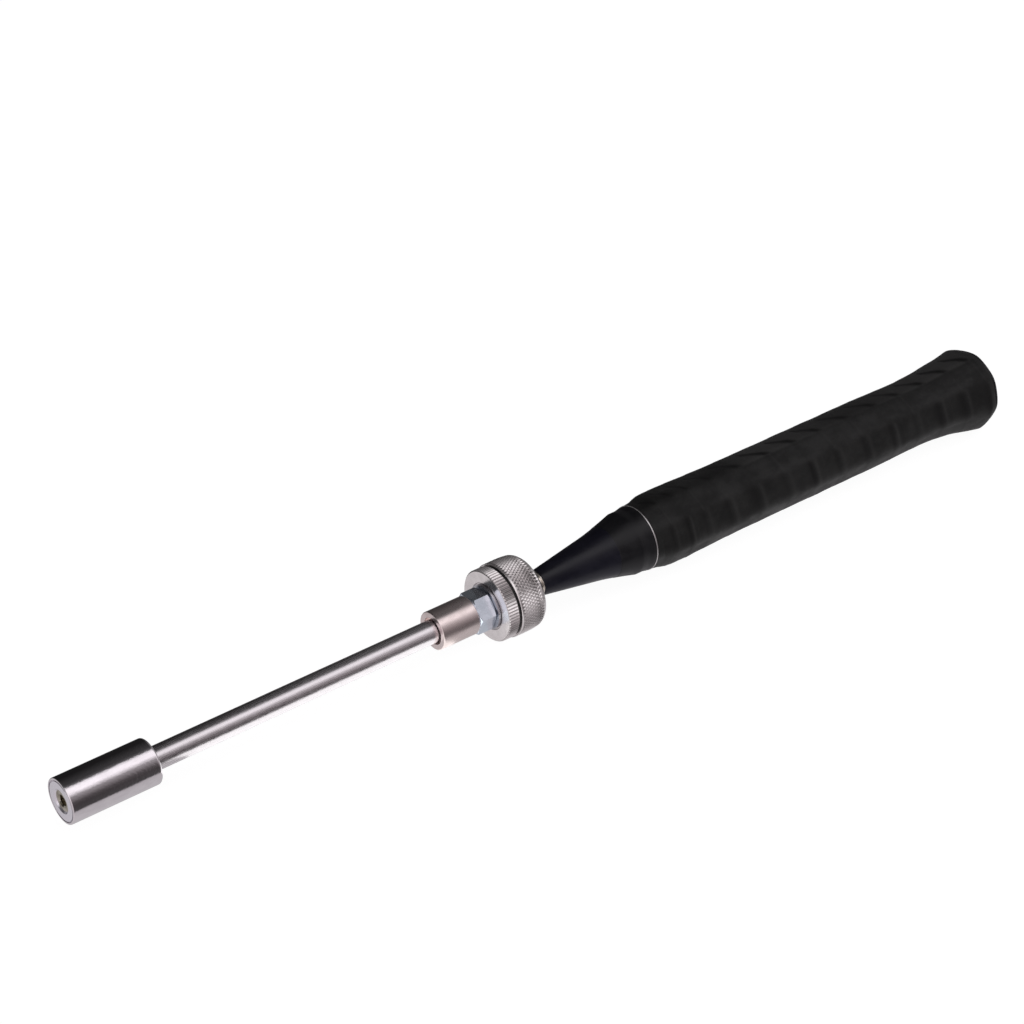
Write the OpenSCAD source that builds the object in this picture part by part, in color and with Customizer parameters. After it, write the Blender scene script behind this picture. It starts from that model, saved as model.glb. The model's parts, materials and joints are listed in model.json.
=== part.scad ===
// Telescopic magnetic pickup tool with a tape-wrapped handle.
// The tool lies along +X: the magnet's face is at the origin and faces -X, the butt is at +X, +Z is up.
// All sizes are in millimetres.

/* [Magnet head] */
// Outside diameter of the steel pot
head_d = 19.3; // [17:0.1:24]
// Length of the pot
head_len = 39.2; // [35:0.1:60]
// Wall of the pot round the magnets
head_wall = 0.9; // [0.6:0.1:1.4]
// Radius of the pot's rounded rear edge
head_edge_r = 1; // [0.5:0.1:3]
// Bevel on the pot's front rim
head_rim_bevel = 0.35; // [0.1:0.05:0.5]
// Thickness of the pole disc
pole_t = 4; // [3:0.5:6]
// Groove between the pole disc and the rim
pole_groove = 0.25; // [0.1:0.05:0.5]
// Length of each ring magnet
magnet_len = 10; // [6:0.5:11]
// Hole through the ring magnets
magnet_bore_d = 6.4; // [5.6:0.1:8]
// Thread diameter of the magnet screw
screw_d = 5; // [4:0.5:5]
// Diameter of the magnet screw's countersunk head
screw_head_d = 9.2; // [8.8:0.1:10]
// Depth of the screw head below the pole disc's face
screw_sink = 0.6; // [0.2:0.1:1]
// Width across flats of the screw's hex socket
screw_socket_af = 3; // [2.5:0.5:4]
// Depth of the screw's hex socket
screw_socket_depth = 2.4; // [1.5:0.1:3]
// Length of the screw's thread in the pot's floor
screw_grip_len = 7; // [4:0.5:8]

/* [Telescopic shaft] */
// Outside diameter of the outer tube
tube_d = 9.8; // [9.4:0.1:11]
// Wall of every tube
tube_wall = 0.5; // [0.4:0.05:0.6]
// Radial room between one tube and the next
tube_room = 0.3; // [0.25:0.05:0.35]
// Length of shaft that shows between the head and the socket
shaft_shown = 133.3; // [90:0.1:200]
// Length of the rolled-in lip at the mouth of each tube
lip_len = 2.5; // [1.5:0.5:5]
// Length of each friction bush
bush_len = 6; // [4:0.5:10]
// Diameter of the rod's neck that the rod bush turns on
rod_neck_d = 3.6; // [3:0.1:3.8]
// Thickness of the washer riveted on the rod's end
rod_stop_t = 1.2; // [0.8:0.1:2]
// Depth of the rod's seat in the pot
rod_seat_depth = 5; // [3:0.5:6]
// Length of the plug in the outer tube's rear end
plug_len = 5; // [3:0.5:10]

/* [Shaft socket] */
// Outside diameter of the socket
socket_d = 16.7; // [15:0.1:20]
// Length of the socket
socket_len = 18; // [17:0.5:30]
// Diameter of the socket's open mouth
socket_mouth_d = 11.6; // [11.2:0.1:13]
// Depth of the socket's open mouth
socket_mouth_depth = 2.5; // [1:0.5:3]
// Length of the tube's seat behind the mouth
socket_seat_len = 7; // [5:0.5:7.5]
// Floor between the tube's seat and the stud's hole
socket_floor = 0.8; // [0.5:0.1:1.5]

/* [Nuts on the stud] */
// Diameter of the stud's thread
stud_d = 10; // [9:0.5:10]
// Width across the hex nut's flats
nut_af = 16; // [15:0.5:17]
// Thickness of the hex nut
nut_t = 8.4; // [7:0.1:10]
// Turn of the hex nut about the tool's axis, in degrees
nut_turn = 20; // [0:5:60]
// Diameter of the plain washer
washer_d = 19.4; // [19:0.1:20]
// Thickness of the plain washer
washer_t = 2; // [1.2:0.1:2.5]
// Diameter of the lock ring over its knurl
lock_d = 31.3; // [28:0.1:36]
// Width of the lock ring
lock_w = 5.4; // [4:0.1:8]
// Diameter of the recess in the lock ring's face
lock_recess_d = 20.2; // [20.1:0.1:22]
// Depth of the recess in the lock ring's face
lock_recess_depth = 0.9; // [0.5:0.1:1.8]
// Number of grooves round the lock ring
lock_groove_count = 72; // [40:1:90]
// Depth of the lock ring's grooves
lock_groove_depth = 0.4; // [0.2:0.05:0.6]
// Bevel at the edges of the lock ring
lock_bevel = 0.5; // [0.2:0.1:0.8]
// Thickness of the gasket between the lock ring and the thumb nut
gasket_t = 0.6; // [0.5:0.1:2]
// Outside diameter of the gasket
gasket_d = 30.2; // [26:0.1:30.2]
// Diameter of the thumb nut over its knurl
thumb_d = 32.5; // [30:0.1:40]
// Width of the thumb nut behind the gasket
thumb_w = 13.2; // [9:0.1:18]
// Width of the thumb nut's plain front lip
thumb_lip_w = 0.7; // [0.4:0.1:1.5]
// Diameter of the thumb nut's rear face
thumb_rear_d = 29; // [24:0.5:30]
// Diameter of the boss on the thumb nut's front that the gasket turns on
thumb_boss_d = 20; // [16:0.5:22]
// Number of diamonds round the thumb nut
diamond_count = 86; // [40:2:90]
// Number of rows of diamonds along the thumb nut
diamond_rows = 9; // [5:1:10]
// Height of the knurl's diamonds
diamond_height = 0.42; // [0.2:0.02:0.6]
// Thread of the stud left free between the thumb nut and the cone
neck_len = 6.9; // [6:0.1:15]

/* [Cone and collar] */
// Diameter of the cone's small end
cone_tip_d = 11.2; // [11:0.1:14]
// Length of the cone, the part under its collar included
cone_len = 52.2; // [48:0.1:62]
// Length of the cone's straight part
cone_straight_len = 27.5; // [22:0.1:30]
// Diameter at which the straight cone starts to flare
cone_waist_d = 19.6; // [18:0.1:22]
// Bevel at the cone's small end
cone_tip_bevel = 0.4; // [0.2:0.1:0.6]
// Length of the rubber collar that is stretched over the cone's flare
collar_len = 16.8; // [10:0.1:20]
// Wall of the collar
collar_t = 1; // [0.8:0.1:1.5]
// Diameter of the collar where its flare ends
collar_wide_d = 27.7; // [26:0.1:30]
// Distance from the end of the collar's flare to the trim ring
collar_land = 6.9; // [5:0.1:9]
// Diameter of the collar at the trim ring
collar_d = 28.8; // [28:0.1:31]
// Bevel at the collar's front edge
collar_bevel = 0.2; // [0.1:0.05:0.3]
// Width of the trim ring
trim_w = 0.5; // [0.4:0.1:1]
// How far the trim ring stands out from the collar
trim_proud = 0.15; // [0.05:0.05:0.3]

/* [Handle] */
// Length of the grip from the trim ring to the butt's end
grip_len = 197; // [180:0.1:240]
// Width across the flats of the handle core
core_af = 24.2; // [22:0.1:25]
// Diameter of the core's round tenon that carries the trim ring, collar and cone
tenon_d = 18; // [17:0.1:19]
// Length of the tenon
tenon_len = 18; // [14:0.5:24]
// Thickness of the cushion layer
underlay_t = 0.8; // [0.5:0.1:1.2]
// Width across the flats of the wrapped grip at its middle
grip_af = 30.5; // [29.6:0.1:34]
// Width across the flats of the tape's front edge
grip_edge_af = 28.4; // [28:0.1:31]
// Width across the flats of the wrapped grip near the cone
grip_front_af = 31.9; // [30:0.1:35]
// Width across the flats at the waist before the butt
grip_waist_af = 29.7; // [29.2:0.1:33]
// Width across the flats at the widest place of the butt
butt_af = 38.4; // [36:0.1:44]
// Length of the butt's flare
flare_len = 38; // [32:1:60]
// Length over which the grip swells behind the cone
swell_len = 19; // [10:1:30]
// Length over which the swell settles to the grip's middle
settle_len = 41; // [20:1:55]
// Length over which the grip narrows to its waist
waist_ease_len = 27; // [15:1:40]
// Spiral pitch of the grip tape
tape_pitch = 16; // [12:0.5:24]
// Thickness of the tape over the butt cap
tape_min_t = 1.1; // [0.8:0.1:1.5]
// Height of the tape's overlapping edge
tape_edge_t = 0.25; // [0.1:0.05:0.4]
// Sharpness of the wrapped grip's eight corners
corner_sharpness = 24; // [16:2:40]
// Diameter of the threaded insert in the core
insert_d = 14; // [13:0.5:15]
// Length of the stud inside the insert
stud_in_insert = 15; // [8:1:36]
// Diameter of the anchor pin that crosses the insert behind the stud
pin_d = 3; // [2:0.5:4]
// Metal of the insert before and behind the anchor pin
insert_land = 1; // [0.5:0.5:4]
// Length of the butt cap's end that shows behind the tape
cap_shown = 2.6; // [1.5:0.1:4]
// Length of the core inside the butt cap
cap_socket_len = 26; // [15:1:34]

/* [Hidden] */

$fn = 96;
// Running fit between a moving piece and its guide, on the radius
run_gap = 0.05;
// Fit between fixed pieces that pass through each other, on the radius
slip_gap = 0.1;
// Gap left between faces that meet when a moving piece is home
home_gap = 0.3;
// Gap between clamped faces of the nut stack
face_gap = 0.1;
// Distance from the waist to the butt cap's front edge
waist_lead = 4;
// Distance from the butt's widest place to its end
widest_inset = 6.5;
// How much narrower the grip is at the tape's rear edge than at its widest
tape_close = 3.2;
// Thickness of the tape at its rear edge
tape_end_t = 0.7;
// Height of the butt cap's lip behind the tape
cap_lip_h = 0.7;

// Colours
steel = [0.78, 0.77, 0.76];
dark_steel = [0.35, 0.34, 0.34];
zinc = [0.72, 0.78, 0.84];
brass = [0.78, 0.62, 0.32];
black = [0.05, 0.05, 0.055];
blue_black = [0.06, 0.06, 0.1];
beech = [0.76, 0.6, 0.42];

// Radii of the telescopic sections
tube_r = tube_d / 2;
section_step = tube_wall + tube_room;
tube_2_r = tube_r - section_step;
tube_3_r = tube_2_r - section_step;
rod_r = tube_3_r - section_step;

// Stations along the tool
shaft_front = head_len + home_gap;
socket_front = head_len + shaft_shown;
socket_rear = socket_front + socket_len;
tube_rear = socket_front + socket_mouth_depth + socket_seat_len;
plug_front = tube_rear - plug_len;
section_rear = plug_front - home_gap;
bush_front = section_rear - bush_len;
stud_front = tube_rear + socket_floor + home_gap;
nut_front = socket_rear;
washer_front = nut_front + nut_t;
lock_floor = washer_front + washer_t;
lock_front = lock_floor - lock_recess_depth;
lock_rear = lock_front + lock_w;
gasket_front = lock_rear + face_gap;
thumb_front = gasket_front + gasket_t + face_gap;
thumb_rear = thumb_front + thumb_w;
cone_front = thumb_rear + neck_len;
trim_front = cone_front + cone_len;
collar_front = trim_front - collar_len;
core_front = trim_front + trim_w;
butt_end = core_front + grip_len;
tape_front = core_front + 0.1;
tape_rear = butt_end - cap_shown;
flare_front = butt_end - flare_len;
waist_x = flare_front - waist_lead;
widest_x = butt_end - widest_inset;
insert_front = core_front + 2;
stud_rear = insert_front + stud_in_insert;
pin_x = stud_rear + home_gap + insert_land + pin_d / 2;
insert_len = pin_x + pin_d / 2 + insert_land - insert_front;

// Turns a shape drawn along +Z so that it lies along +X
module along_x(x = 0) {
    translate([x, 0, 0])
        rotate([0, 90, 0])
            children();
}

// A round piece from its half outline, given as [distance along the axis, radius] points
module turned(outline) {
    rotate([0, 90, 0])
        rotate_extrude()
            polygon([for (p = outline) [p[1], p[0]]]);
}

// A plain round bar or hole along X
module bar(x, len, r) {
    along_x(x)
        cylinder(h = len, r = r);
}

// A ring along X with straight walls
module ring(x, len, r_out, r_in) {
    turned([[x, r_in], [x + len, r_in], [x + len, r_out], [x, r_out]]);
}

// Points of a quarter round from the outer wall to the rear face
function rear_round(x, r, edge) = [for (a = [0:15:90]) [x - edge + edge * sin(a), r - edge + edge * cos(a)]];

/* ---- Magnet head ---- */

head_r = head_d / 2;
cup_r = head_r - head_wall;
cup_floor = pole_t + 2 * magnet_len;

module head_shell() {
    color(steel)
        difference() {
            turned(concat(
                [[0, cup_r], [0, head_r - head_rim_bevel], [head_rim_bevel, head_r]],
                rear_round(head_len, head_r, head_edge_r),
                [[head_len, rod_r], [head_len - rod_seat_depth, rod_r], [head_len - rod_seat_depth, 0],
                    [cup_floor, 0], [cup_floor, cup_r]]
            ));
            bar(cup_floor - 1, screw_grip_len + 1, screw_d / 2);
        }
}

// The screw's cone is 90 degrees, so its radius shrinks by as much as it goes in
module pole_disc() {
    sink_r = screw_head_d / 2 + screw_sink;
    hole_r = screw_d / 2 + slip_gap;
    disc_r = cup_r - pole_groove;
    color(steel)
        turned([[0, sink_r], [0, disc_r], [1, disc_r], [1, cup_r], [pole_t, cup_r], [pole_t, hole_r],
            [sink_r - hole_r, hole_r]]);
}

module magnet(x) {
    color(dark_steel)
        ring(x, magnet_len, cup_r - slip_gap, magnet_bore_d / 2);
}

module ring_magnet() {
    magnet(pole_t);
}

module back_magnet() {
    magnet(pole_t + magnet_len);
}

module magnet_screw() {
    top_r = screw_head_d / 2;
    shank_r = screw_d / 2;
    color(dark_steel)
        difference() {
            turned([[screw_sink, 0], [screw_sink, top_r], [screw_sink + top_r - shank_r, shank_r],
                [cup_floor + screw_grip_len - 0.5, shank_r], [cup_floor + screw_grip_len - 0.5, 0]]);
            along_x(screw_sink - 1)
                cylinder(h = screw_socket_depth + 1, d = screw_socket_af / cos(30), $fn = 6);
        }
}

/* ---- Telescopic shaft ---- */

// A tube whose mouth is rolled in to guide the next section
module shaft_tube(r_out, r_guided, x_end) {
    bore_r = r_out - tube_wall;
    guide_r = r_guided + run_gap;
    roll = 0.25;
    turned([[shaft_front, guide_r], [shaft_front, r_out - roll], [shaft_front + roll, r_out],
        [x_end, r_out], [x_end, bore_r], [shaft_front + lip_len, bore_r], [shaft_front + lip_len, guide_r]]);
}

// A thin bush pressed on the rear end of a section, running in the tube round it
module section_bush(r_section) {
    ring(bush_front, bush_len, r_section + tube_room - run_gap, r_section);
}

module outer_tube() {
    color(steel)
        shaft_tube(tube_r, tube_2_r, tube_rear);
}

module tube_2() {
    color(steel)
        shaft_tube(tube_2_r, tube_3_r, section_rear);
}

module tube_3() {
    color(steel)
        shaft_tube(tube_3_r, rod_r, section_rear);
}

module bush_2() {
    color(brass)
        section_bush(tube_2_r);
}

module bush_3() {
    color(brass)
        section_bush(tube_3_r);
}

rod_shoulder = section_rear - rod_stop_t - bush_len - 2 * run_gap;

module inner_rod() {
    neck_r = rod_neck_d / 2;
    color(steel)
        turned([[head_len - rod_seat_depth, 0], [head_len - rod_seat_depth, rod_r], [rod_shoulder, rod_r],
            [rod_shoulder, neck_r], [section_rear, neck_r], [section_rear, 0]]);
}

module rod_bush() {
    color(brass)
        ring(rod_shoulder + run_gap, bush_len, tube_3_r - tube_wall - run_gap, rod_neck_d / 2 + run_gap);
}

module rod_stop() {
    color(dark_steel)
        ring(section_rear - rod_stop_t, rod_stop_t, rod_r, rod_neck_d / 2);
}

module tube_plug() {
    color(dark_steel)
        bar(plug_front, plug_len, tube_r - tube_wall);
}

/* ---- Socket, nuts and stud ---- */

module shaft_socket() {
    socket_r = socket_d / 2;
    mouth_r = socket_mouth_d / 2;
    seat_front = socket_front + socket_mouth_depth;
    stud_hole = stud_d / 2 + slip_gap;
    edge = 0.4;
    color(steel)
        difference() {
            turned([[socket_front, mouth_r], [socket_front, socket_r - edge],
                [socket_front + edge, socket_r], [socket_rear, socket_r], [socket_rear, 0],
                [tube_rear, 0], [tube_rear, tube_r], [seat_front, tube_r], [seat_front, mouth_r]]);
            bar(tube_rear + socket_floor, socket_len, stud_hole);
        }
}

module hex_nut() {
    corner_r = nut_af / 2 / cos(30);
    bevel_r = nut_af / 2 * 0.96;
    clear_r = corner_r + 0.5;
    bevel_len = (clear_r - bevel_r) * tan(30);
    color(zinc)
        difference() {
            intersection() {
                along_x(nut_front)
                    rotate([0, 0, nut_turn])
                        cylinder(h = nut_t, r = corner_r, $fn = 6);
                turned([[nut_front, 0], [nut_front, bevel_r], [nut_front + bevel_len, clear_r],
                    [nut_front + nut_t - bevel_len, clear_r], [nut_front + nut_t, bevel_r],
                    [nut_front + nut_t, 0]]);
            }
            bar(nut_front - 1, nut_t + 2, stud_d / 2 + slip_gap);
        }
}

module nut_washer() {
    color(zinc)
        ring(washer_front, washer_t, washer_d / 2, stud_d / 2 + slip_gap);
}

// The lock ring's star-shaped section: one V groove after another round the rim
module groove_star(r, depth, count) {
    polygon([for (i = [0:2 * count - 1])
        let (a = 180 / count * i, rr = i % 2 == 0 ? r : r - depth)
            [rr * cos(a), rr * sin(a)]]);
}

module lock_ring() {
    r = lock_d / 2;
    recess_r = lock_recess_d / 2;
    rim_bevel = 0.3;
    clear = 0.3;
    slope = lock_bevel + clear;
    color(steel)
        difference() {
            intersection() {
                along_x(lock_front)
                    linear_extrude(height = lock_w)
                        groove_star(r, lock_groove_depth, lock_groove_count);
                turned([[lock_front, 0], [lock_front, r - lock_bevel], [lock_front + slope, r + clear],
                    [lock_rear - slope, r + clear], [lock_rear, r - lock_bevel], [lock_rear, 0]]);
            }
            turned([[lock_front - 1, 0], [lock_front - 1, recess_r + rim_bevel + 1],
                [lock_front + rim_bevel, recess_r], [lock_floor, recess_r], [lock_floor, 0]]);
            bar(lock_floor - 1, lock_w + 2, stud_d / 2 + slip_gap);
        }
}

module nut_gasket() {
    color(black)
        ring(gasket_front, gasket_t, gasket_d / 2, thumb_boss_d / 2 + run_gap);
}

// Radius of the thumb nut's crowned rim at a share t of its knurled width
function rim_r(t) = thumb_d / 2 - 0.6 * pow(max(0, t - 0.45) / 0.55, 2);

// FACETED: rows of points round the nut; crossings of the grooves are low and the diamonds' tips between
// them are high, so every diamond is a four-sided pyramid
module knurled_rim() {
    columns = 2 * diamond_count;
    rows = 2 * diamond_rows;
    knurl_front = thumb_front + thumb_lip_w;
    knurl_rear = thumb_rear - 0.9;
    row_x = concat([thumb_front, thumb_front + thumb_lip_w - 0.1],
        [for (j = [0:rows]) knurl_front + (knurl_rear - knurl_front) * j / rows],
        [thumb_rear]);
    last = len(row_x) - 1;
    ends = columns * (last + 1);
    points = [for (k = [0:last]) for (i = [0:columns - 1])
        let (
            j = k - 2,
            high = (i + k) % 2 != 0 && j > 0 && j < rows,
            plain = k < 2,
            r = plain ? thumb_d / 2 - 0.1
                : k == last ? thumb_rear_d / 2
                : rim_r(j / rows) - (high ? 0 : diamond_height),
            a = 360 * i / columns
        )
        [row_x[k], r * cos(a), r * sin(a)]];
    faces = [for (k = [0:last - 1]) for (i = [0:columns - 1])
        let (
            n = (i + 1) % columns,
            a = k * columns + i,
            b = k * columns + n,
            c = (k + 1) * columns + n,
            d = (k + 1) * columns + i,
            low_corner = (i + k) % 2 == 0
        )
        each (low_corner ? [[a, c, b], [a, d, c]] : [[a, d, b], [b, d, c]])];
    caps = [for (i = [0:columns - 1])
        let (
            n = (i + 1) % columns
        )
        each [[ends, i, n], [ends + 1, last * columns + n, last * columns + i]]];
    polyhedron(
        points = concat(points, [[row_x[0], 0, 0], [row_x[last], 0, 0]]),
        faces = concat(faces, caps)
    );
}

module thumb_nut() {
    color(steel)
        difference() {
            union() {
                knurled_rim();
                bar(gasket_front, thumb_front - gasket_front + 1, thumb_boss_d / 2);
            }
            bar(gasket_front - 1, thumb_w + gasket_t + 4, stud_d / 2 + run_gap);
        }
}

// The thread itself is fine work on the surface: the solid is the thread's outer cylinder with its reliefs
module stud() {
    r = stud_d / 2;
    tip = 0.8;
    color(steel)
        turned([[stud_front, 0], [stud_front, r - tip], [stud_front + tip, r], [stud_rear - tip, r],
            [stud_rear, r - tip], [stud_rear, 0]]);
}

/* ---- Cone, collar and trim ring ---- */

cone_tip_r = cone_tip_d / 2;
cone_waist_r = cone_waist_d / 2;
cone_waist_x = cone_front + cone_straight_len;
flare_end_x = trim_front - collar_land;
land_rise_x = flare_end_x + 3;
tenon_r = tenon_d / 2;
tenon_front = core_front - tenon_len;

// Radius over the cone and its collar: straight, then flaring, then level and up to the trim ring
function nose_r(x) =
    let (
        slope = (cone_waist_r - cone_tip_r) / cone_straight_len,
        flared = slope * (flare_end_x - cone_waist_x),
        rise = collar_wide_d / 2 - cone_waist_r,
        t = share(x, cone_waist_x, flare_end_x)
    )
    x < cone_waist_x ? cone_tip_r + slope * (x - cone_front)
        : x < flare_end_x ? cone_waist_r + flared * t + (rise - flared) * pow(t, 1.6)
        : blend(collar_wide_d / 2, collar_d / 2, eased(share(x, land_rise_x, trim_front)));

// Points of that outline between two places, set in by some depth
function nose_points(x0, x1, depth = 0) =
    [for (i = [0:12]) let (x = blend(x0, x1, i / 12)) [x, nose_r(x) - depth]];

module front_cone() {
    stud_hole = stud_d / 2 + slip_gap;
    wall = 2.2;
    hollow_front = cone_waist_x - 7;
    color(blue_black)
        difference() {
            turned(concat(
                [[cone_front, 0], [cone_front, cone_tip_r - cone_tip_bevel],
                    [cone_front + cone_tip_bevel, nose_r(cone_front + cone_tip_bevel)]],
                nose_points(cone_waist_x, collar_front),
                nose_points(collar_front, trim_front, collar_t),
                [[trim_front, 0]]
            ));
            bar(cone_front - 1, cone_len, stud_hole);
            turned([[hollow_front, 0], [hollow_front, stud_hole],
                [tenon_front - home_gap, cone_waist_r - wall], [tenon_front - home_gap, tenon_r],
                [trim_front + 1, tenon_r], [trim_front + 1, 0]]);
        }
}

module cone_collar() {
    seat = nose_points(collar_front, trim_front, collar_t);
    color(black)
        turned(concat(
            [[collar_front, nose_r(collar_front) - collar_bevel]],
            nose_points(collar_front + collar_bevel, trim_front),
            [for (i = [len(seat) - 1:-1:0]) seat[i]]
        ));
}

module trim_ring() {
    color(steel)
        ring(trim_front, trim_w, collar_d / 2 + trim_proud, tenon_r);
}

/* ---- Handle ---- */

// An octagonal bar along X that lies on one of its flats
module octagon(x, len, af) {
    along_x(x)
        rotate([0, 0, 22.5])
            cylinder(h = len, d = af / cos(22.5), $fn = 8);
}

// FACETED: an octagonal body along X through [distance along the axis, width across flats] stations
module octagon_body(stations) {
    last = len(stations) - 1;
    points = [for (s = stations) for (i = [0:7])
        let (a = 45 * i + 22.5, r = s[1] / 2 / cos(22.5))
            [s[0], r * cos(a), r * sin(a)]];
    sides = [for (k = [0:last - 1]) for (i = [0:7])
        let (n = (i + 1) % 8)
            [k * 8 + i, (k + 1) * 8 + i, (k + 1) * 8 + n, k * 8 + n]];
    polyhedron(
        points = points,
        faces = concat(sides, [[for (i = [0:7]) i], [for (i = [7:-1:0]) last * 8 + i]])
    );
}

cushion_af = core_af + 2 * underlay_t;
cap_front = flare_front;
core_rear = cap_front + cap_socket_len;

module handle_core() {
    color(beech)
        difference() {
            union() {
                bar(tenon_front, tenon_len + 1, tenon_r);
                octagon(core_front, core_rear - core_front, core_af);
            }
            bar(tenon_front - 1, insert_front - tenon_front + 1, stud_d / 2 + slip_gap);
            bar(insert_front - 0.5, insert_len + 0.5, insert_d / 2);
            anchor_hole();
        }
}

module anchor_hole() {
    translate([pin_x, 0, -core_af / 2 - 1])
        cylinder(h = core_af + 2, d = pin_d);
}

module stud_insert() {
    color(brass)
        difference() {
            bar(insert_front, insert_len, insert_d / 2);
            bar(insert_front - 1, stud_in_insert + home_gap + 1, stud_d / 2);
            anchor_hole();
        }
}

module anchor_pin() {
    color(dark_steel)
        translate([pin_x, 0, -core_af / 2])
            cylinder(h = core_af, d = pin_d);
}

module grip_underlay() {
    color(black)
        difference() {
            octagon(core_front + 1, cap_front - core_front - 1, cushion_af);
            octagon(core_front, cap_front - core_front + 1, core_af);
        }
}

// The butt cap's outside under the tape, its neck below the tape's rear edge, and the lip behind that edge
cap_af = butt_af - 2 * tape_min_t;
tape_end_af = butt_af - tape_close;
tape_end_corner_r = tape_end_af / 2 * round_octagon(22.5) - tape_edge_t / 2;
cap_neck_af = 2 * cos(22.5) * (tape_end_corner_r - tape_end_t);
cap_lip_af = cap_neck_af + 2 * cap_lip_h;
cap_end_bevel = 0.8;
cap_stations = [
    [cap_front, cushion_af],
    [flare_front + flare_len * 0.4, cushion_af + (cap_af - cushion_af) * 0.28],
    [flare_front + flare_len * 0.7, cushion_af + (cap_af - cushion_af) * 0.68],
    [widest_x, cap_af],
    [tape_rear - 0.6, cap_neck_af],
    [tape_rear + slip_gap, cap_neck_af],
    [tape_rear + 0.5, cap_lip_af],
    [butt_end - cap_end_bevel, cap_lip_af - 0.2],
    [butt_end, cap_lip_af - cap_end_bevel]
];

module butt_cap() {
    color(black)
        difference() {
            octagon_body(cap_stations);
            octagon(cap_front - 1, cap_socket_len + 1, core_af);
        }
}

// Half width of the wrapped grip along the handle, eased between its stations
function share(x, x0, x1) = min(1, max(0, (x - x0) / (x1 - x0)));

function eased(t) = (3 - 2 * t) * t * t;

function blend(a, b, t) = a + (b - a) * t;

swell_x = core_front + swell_len;
middle_x = swell_x + settle_len;
taper_x = waist_x - waist_ease_len;
front_rise = [[0, 0], [0.2, 0.22], [0.31, 0.58], [0.42, 0.86], [0.6, 0.98], [1, 1]];

function grip_af_at(x) =
    x < swell_x ? blend(grip_edge_af, grip_front_af, lookup(share(x, tape_front, swell_x), front_rise))
    : x < middle_x ? blend(grip_af, grip_front_af, pow(1 - share(x, swell_x, middle_x), 2))
    : x < waist_x ? blend(grip_af, grip_waist_af, eased(share(x, taper_x, waist_x)))
    : x < widest_x ? blend(grip_waist_af, butt_af, pow(share(x, waist_x, widest_x), 1.75))
    : blend(butt_af, tape_end_af, pow(share(x, widest_x, tape_rear), 2));

// Radius of an octagon with rounded corners at an angle, for a half width of 1
function round_octagon(a) =
    pow(
        pow(abs(cos(a)), corner_sharpness) + pow(abs(cos(a - 45)), corner_sharpness)
            + pow(abs(cos(a - 90)), corner_sharpness) + pow(abs(cos(a - 135)), corner_sharpness),
        -1 / corner_sharpness
    );

module grip_tape() {
    color(black)
        difference() {
            wrapped_skin();
            octagon_body(concat([[tape_front - 1, cushion_af]], cap_stations));
        }
}

// FACETED: the rows of points follow the tape's spiral, so each overlapping edge is one clean line.
// Four rows make one turn: the foot of the step, the raised edge and two more down to the next foot.
module wrapped_skin() {
    columns = 32;
    row_share = [0, 0.06, 0.37, 0.69];
    row_lift = [0, 1, 0.67, 0.33];
    per_turn = len(row_share);
    turns = ceil((tape_rear - tape_front) / tape_pitch) + 1;
    rows = per_turn * turns;
    function raw_x(i, k) = tape_front + tape_pitch
        * (floor(k / per_turn) - 1 + row_share[k % per_turn] + i / columns);
    function first_row(i) = max([for (k = [0:rows - 1]) raw_x(i, k) <= tape_front + 0.01 ? k : 0]);
    function last_row(i) = min([for (k = [0:rows - 1]) raw_x(i, k) >= tape_rear - 0.01 ? k : rows - 1]);
    firsts = [for (i = [0:columns - 1]) first_row(i)];
    lasts = [for (i = [0:columns - 1]) last_row(i)];
    function index(i, k) = min(max(k, firsts[i]), lasts[i]) * columns + i;
    points = [for (k = [0:rows - 1]) for (i = [0:columns - 1])
        let (
            x = min(max(raw_x(i, k), tape_front), tape_rear),
            a = 360 * i / columns,
            r = grip_af_at(x) / 2 * round_octagon(a) + tape_edge_t * (row_lift[k % per_turn] - 0.5)
        )
        [x, r * cos(a), r * sin(a)]];
    quads = [for (k = [0:rows - 1]) for (i = [0:columns - 1])
        let (
            wrap = i == columns - 1,
            n = wrap ? 0 : i + 1,
            up = wrap ? per_turn : 0,
            a = index(i, k),
            b = index(n, min(rows - 1, k + up)),
            c = index(n, min(rows - 1, k + 1 + up)),
            d = index(i, min(rows - 1, k + 1))
        )
        each [[a, c, b], [a, d, c]]];
    faces = [for (f = quads) if (f[0] != f[1] && f[1] != f[2] && f[2] != f[0]) f];
    polyhedron(
        points = points,
        faces = concat(
            faces,
            [[for (i = [0:columns - 1]) index(i, 0)]],
            [[for (i = [columns - 1:-1:0]) index(i, rows - 1)]]
        )
    );
}

head_shell();
pole_disc();
magnet_screw();
ring_magnet();
back_magnet();
inner_rod();
rod_stop();
rod_bush();
tube_3();
bush_3();
tube_2();
bush_2();
outer_tube();
tube_plug();
shaft_socket();
hex_nut();
nut_washer();
lock_ring();
nut_gasket();
thumb_nut();
stud();
front_cone();
cone_collar();
trim_ring();
handle_core();
stud_insert();
anchor_pin();
grip_underlay();
grip_tape();
butt_cap();
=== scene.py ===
"""The looks of a telescopic magnetic pickup tool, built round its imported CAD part.

The tool lies along +X: the magnet's face is at the origin, the flared butt at +X, and +Z is up.
The turned pieces are redrawn as fine lathe meshes with softened edges. The thumb nut gets its diamond
knurl, the hex nut its bevelled corners, the screw its hex socket, the stud its thread and the grip its
spiral of tape.
Lengths are in metres unless a comment says millimetres. Angles round the tool start at +Y and turn
towards +Z.
"""

import json
import math

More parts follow.
